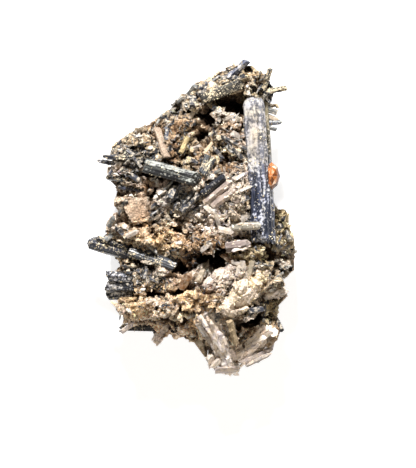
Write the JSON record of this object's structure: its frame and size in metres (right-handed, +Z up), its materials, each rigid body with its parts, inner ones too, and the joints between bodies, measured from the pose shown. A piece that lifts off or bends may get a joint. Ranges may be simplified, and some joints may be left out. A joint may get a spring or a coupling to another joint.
{
  "type": "black tourmaline specimen",
  "caption": "Black tourmaline prisms with smoky quartz and a small garnet, grown on a crumbly ochre matrix that lies on its flat broken back",
  "frame": {"origin": "middle of the bounding box in plan, on the plane that the broken back rests on", "axes": "+Z up, from the broken back to the crystal side; +Y along the specimen's long side towards its peak; +X towards the side that holds the great prism"},
  "size_m": [0.0734, 0.1098, 0.0412],
  "materials": {
    "tourmaline": "satin, striated along the prism",
    "smoky_quartz": "glossy, clear to smoky",
    "garnet": "glossy, translucent orange",
    "matrix": "matte, crumbly"
  },
  "bodies": {
    "root": {"great_tourmaline": "tourmaline", "striated_bar": "tourmaline", "black_stub": "tourmaline", "left_spike_upper": "tourmaline", "left_spike_top": "tourmaline", "left_spike_middle": "tourmaline", "left_spike_lower": "tourmaline", "left_horn": "tourmaline", "shelf_bar": "tourmaline", "corner_cluster": "tourmaline", "lower_edge_prism": "tourmaline", "peak_prism": "tourmaline", "crest_prism": "tourmaline", "upper_right_pair": "tourmaline", "side_spur_middle": "tourmaline", "ladder_prism": "tourmaline", "middle_quartz": "smoky_quartz", "quartz_blade": "smoky_quartz", "shelf_quartz": "smoky_quartz", "lower_quartz_pair": "smoky_quartz", "flank_quartz": "smoky_quartz", "foot_quartz": "smoky_quartz", "corner_quartz": "smoky_quartz", "right_edge_quartz": "smoky_quartz", "lower_left_quartz": "smoky_quartz", "garnet": "garnet", "matrix": "matrix"}
  },
  "joints": []
}
